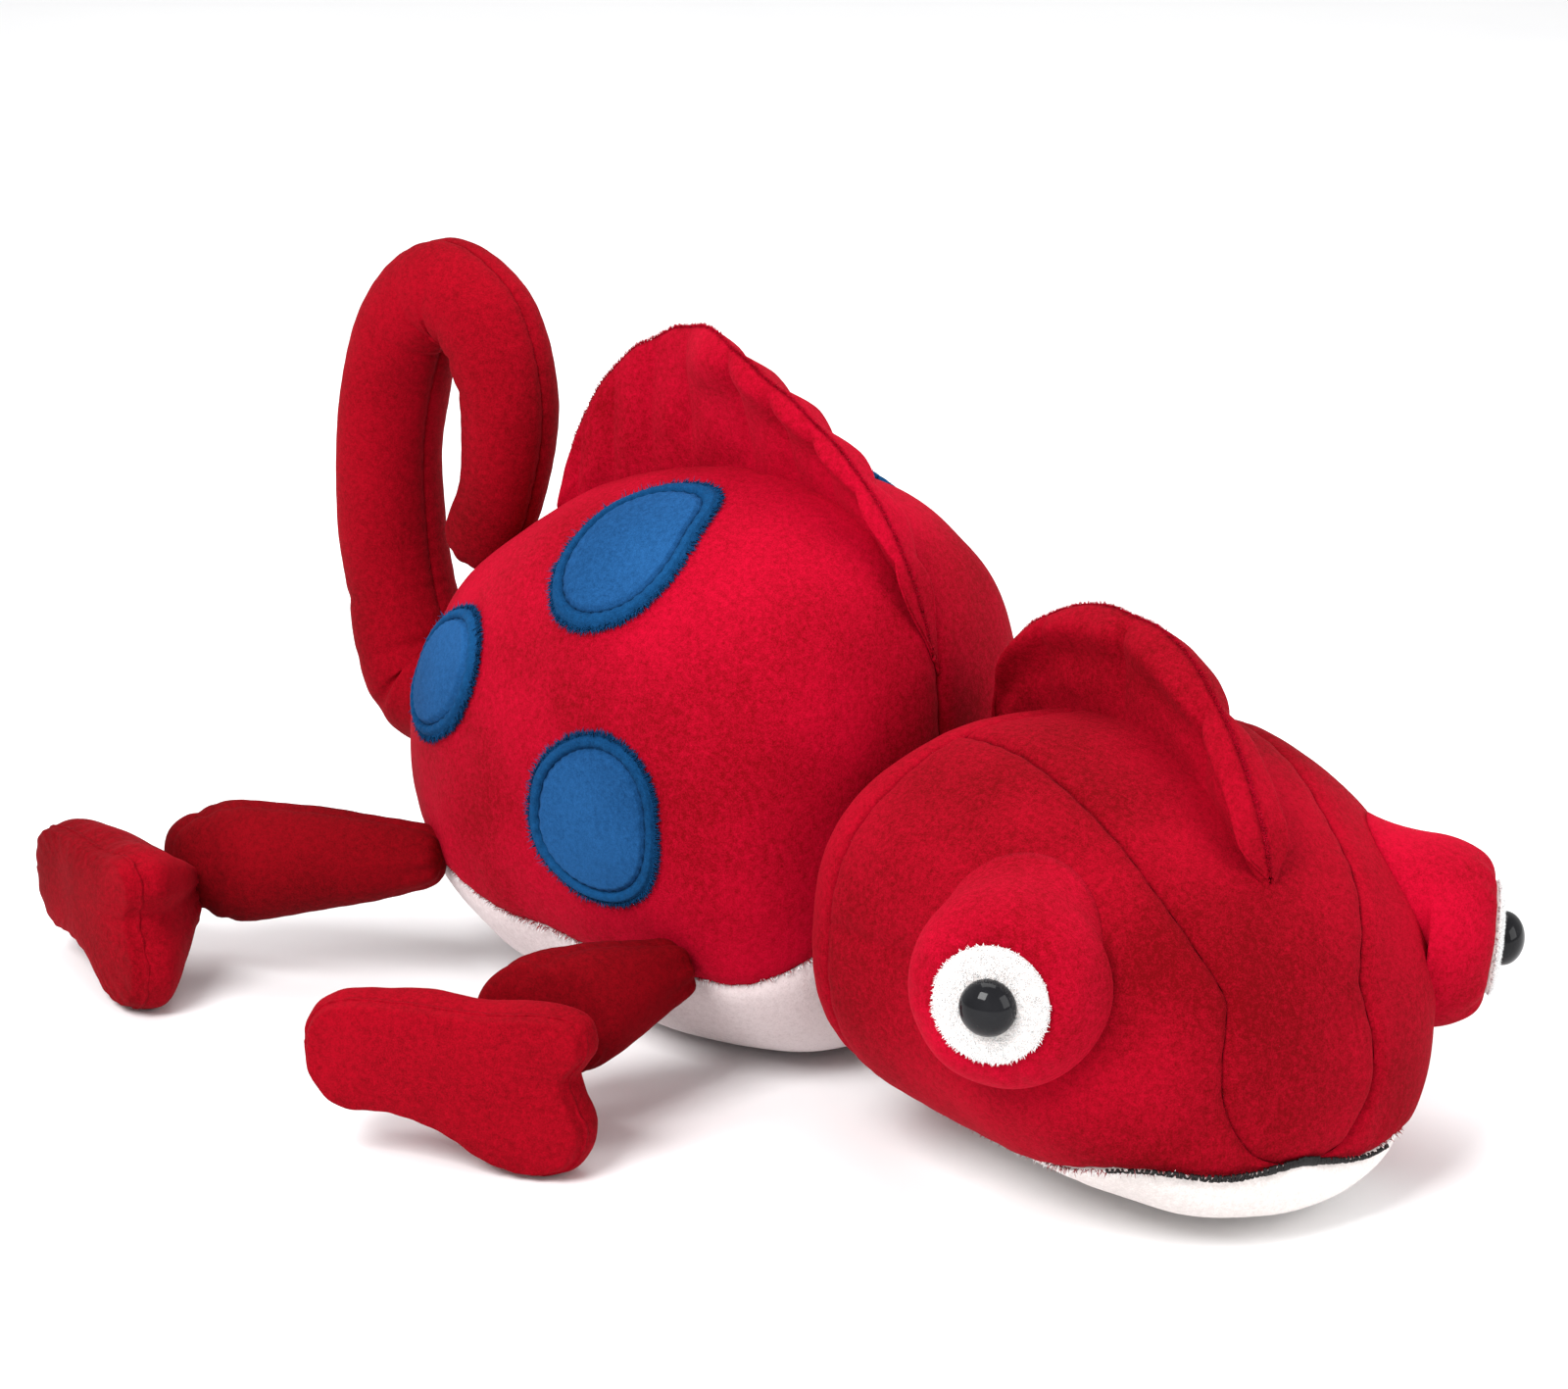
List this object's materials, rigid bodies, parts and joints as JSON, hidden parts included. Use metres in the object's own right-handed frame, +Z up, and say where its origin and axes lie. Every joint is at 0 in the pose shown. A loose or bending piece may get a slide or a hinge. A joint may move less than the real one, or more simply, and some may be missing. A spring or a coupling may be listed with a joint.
{
  "type": "plush toy",
  "caption": "Stuffed plush chameleon toy lying on its belly, with a turning head, curled tail, four floppy legs, quilted crests and safety eyes.",
  "frame": {"origin": "on the surface that the toy lies on, on its middle line under the belly", "axes": "+X forwards to the head, +Y to the animal's left, +Z up"},
  "size_m": [0.3589, 0.2654, 0.1785],
  "materials": {
    "red_plush": "short-pile velboa plush",
    "white_plush": "short-pile plush",
    "blue_plush": "short-pile plush",
    "fibre_filling": "loose polyester fibre",
    "black_thread": "satin embroidery thread",
    "black_gloss": "moulded glossy plastic",
    "washer_plastic": "moulded natural plastic"
  },
  "bodies": {
    "torso": {"torso_right_panel": "red_plush", "torso_left_panel": "red_plush", "belly_panel": "white_plush", "torso_filling": "fibre_filling", "back_crest_right": "red_plush", "back_crest_left": "red_plush", "back_crest_filling": "fibre_filling", "spot_right_upper": "blue_plush", "spot_right_rear": "blue_plush", "spot_right_lower": "blue_plush", "spot_left_upper": "blue_plush", "spot_left_rear": "blue_plush", "spot_left_lower": "blue_plush"},
    "head": {"head_right_panel": "red_plush", "head_left_panel": "red_plush", "head_gusset": "red_plush", "head_back_panel": "red_plush", "chin_panel": "white_plush", "head_filling": "fibre_filling", "mouth_embroidery": "black_thread", "head_crest_right": "red_plush", "head_crest_left": "red_plush", "head_crest_filling": "fibre_filling", "eye_turret_right": "red_plush", "eye_turret_filling_right": "fibre_filling", "eye_disc_right": "white_plush", "safety_eye_right": "black_gloss", "eye_washer_right": "washer_plastic", "eye_turret_left": "red_plush", "eye_turret_filling_left": "fibre_filling", "eye_disc_left": "white_plush", "safety_eye_left": "black_gloss", "eye_washer_left": "washer_plastic"},
    "tail": {"tail_right_panel": "red_plush", "tail_left_panel": "red_plush", "tail_filling": "fibre_filling"},
    "leg_fr": {"leg_skin_fr": "red_plush", "leg_filling_fr": "fibre_filling"},
    "foot_fr": {"foot_upper_fr": "red_plush", "sole_fr": "red_plush", "foot_filling_fr": "fibre_filling"},
    "leg_fl": {"leg_skin_fl": "red_plush", "leg_filling_fl": "fibre_filling"},
    "foot_fl": {"foot_upper_fl": "red_plush", "sole_fl": "red_plush", "foot_filling_fl": "fibre_filling"},
    "leg_rr": {"leg_skin_rr": "red_plush", "leg_filling_rr": "fibre_filling"},
    "foot_rr": {"foot_upper_rr": "red_plush", "sole_rr": "red_plush", "foot_filling_rr": "fibre_filling"},
    "leg_rl": {"leg_skin_rl": "red_plush", "leg_filling_rl": "fibre_filling"},
    "foot_rl": {"foot_upper_rl": "red_plush", "sole_rl": "red_plush", "foot_filling_rl": "fibre_filling"}
  },
  "joints": [
    {"name": "head_turn", "type": "hinge", "parent": "torso", "child": "head", "pos_m": [0.125, 0, 0.05], "axis": [0, 0, 1], "range_deg": [0, 25]},
    {"name": "tail_sway", "type": "hinge", "parent": "torso", "child": "tail", "pos_m": [-0.079, 0, 0.06], "axis": [1, 0, 0], "range_deg": [-25, 25]},
    {"name": "leg_swing_fr", "type": "hinge", "parent": "torso", "child": "leg_fr", "pos_m": [0.0502, -0.0544, 0.033], "axis": [0, 0, 1], "range_deg": [-15, 15]},
    {"name": "leg_swing_fl", "type": "hinge", "parent": "torso", "child": "leg_fl", "pos_m": [0.0502, 0.0544, 0.033], "axis": [0, 0, 1], "range_deg": [-15, 15]},
    {"name": "leg_swing_rr", "type": "hinge", "parent": "torso", "child": "leg_rr", "pos_m": [-0.0445, -0.043, 0.035], "axis": [0, 0, 1], "range_deg": [-15, 15]},
    {"name": "leg_swing_rl", "type": "hinge", "parent": "torso", "child": "leg_rl", "pos_m": [-0.0445, 0.043, 0.035], "axis": [0, 0, 1], "range_deg": [-15, 15]},
    {"name": "ankle_fr", "type": "hinge", "parent": "leg_fr", "child": "foot_fr", "pos_m": [0.037, -0.092, 0.027], "axis": [0, 0, 1], "range_deg": [-10, 10]},
    {"name": "ankle_fl", "type": "hinge", "parent": "leg_fl", "child": "foot_fl", "pos_m": [0.037, 0.092, 0.027], "axis": [0, 0, 1], "range_deg": [-10, 10]},
    {"name": "ankle_rr", "type": "hinge", "parent": "leg_rr", "child": "foot_rr", "pos_m": [-0.1, -0.073, 0.028], "axis": [0, 0, 1], "range_deg": [-10, 10]},
    {"name": "ankle_rl", "type": "hinge", "parent": "leg_rl", "child": "foot_rl", "pos_m": [-0.1, 0.073, 0.028], "axis": [0, 0, 1], "range_deg": [-10, 10]}
  ]
}
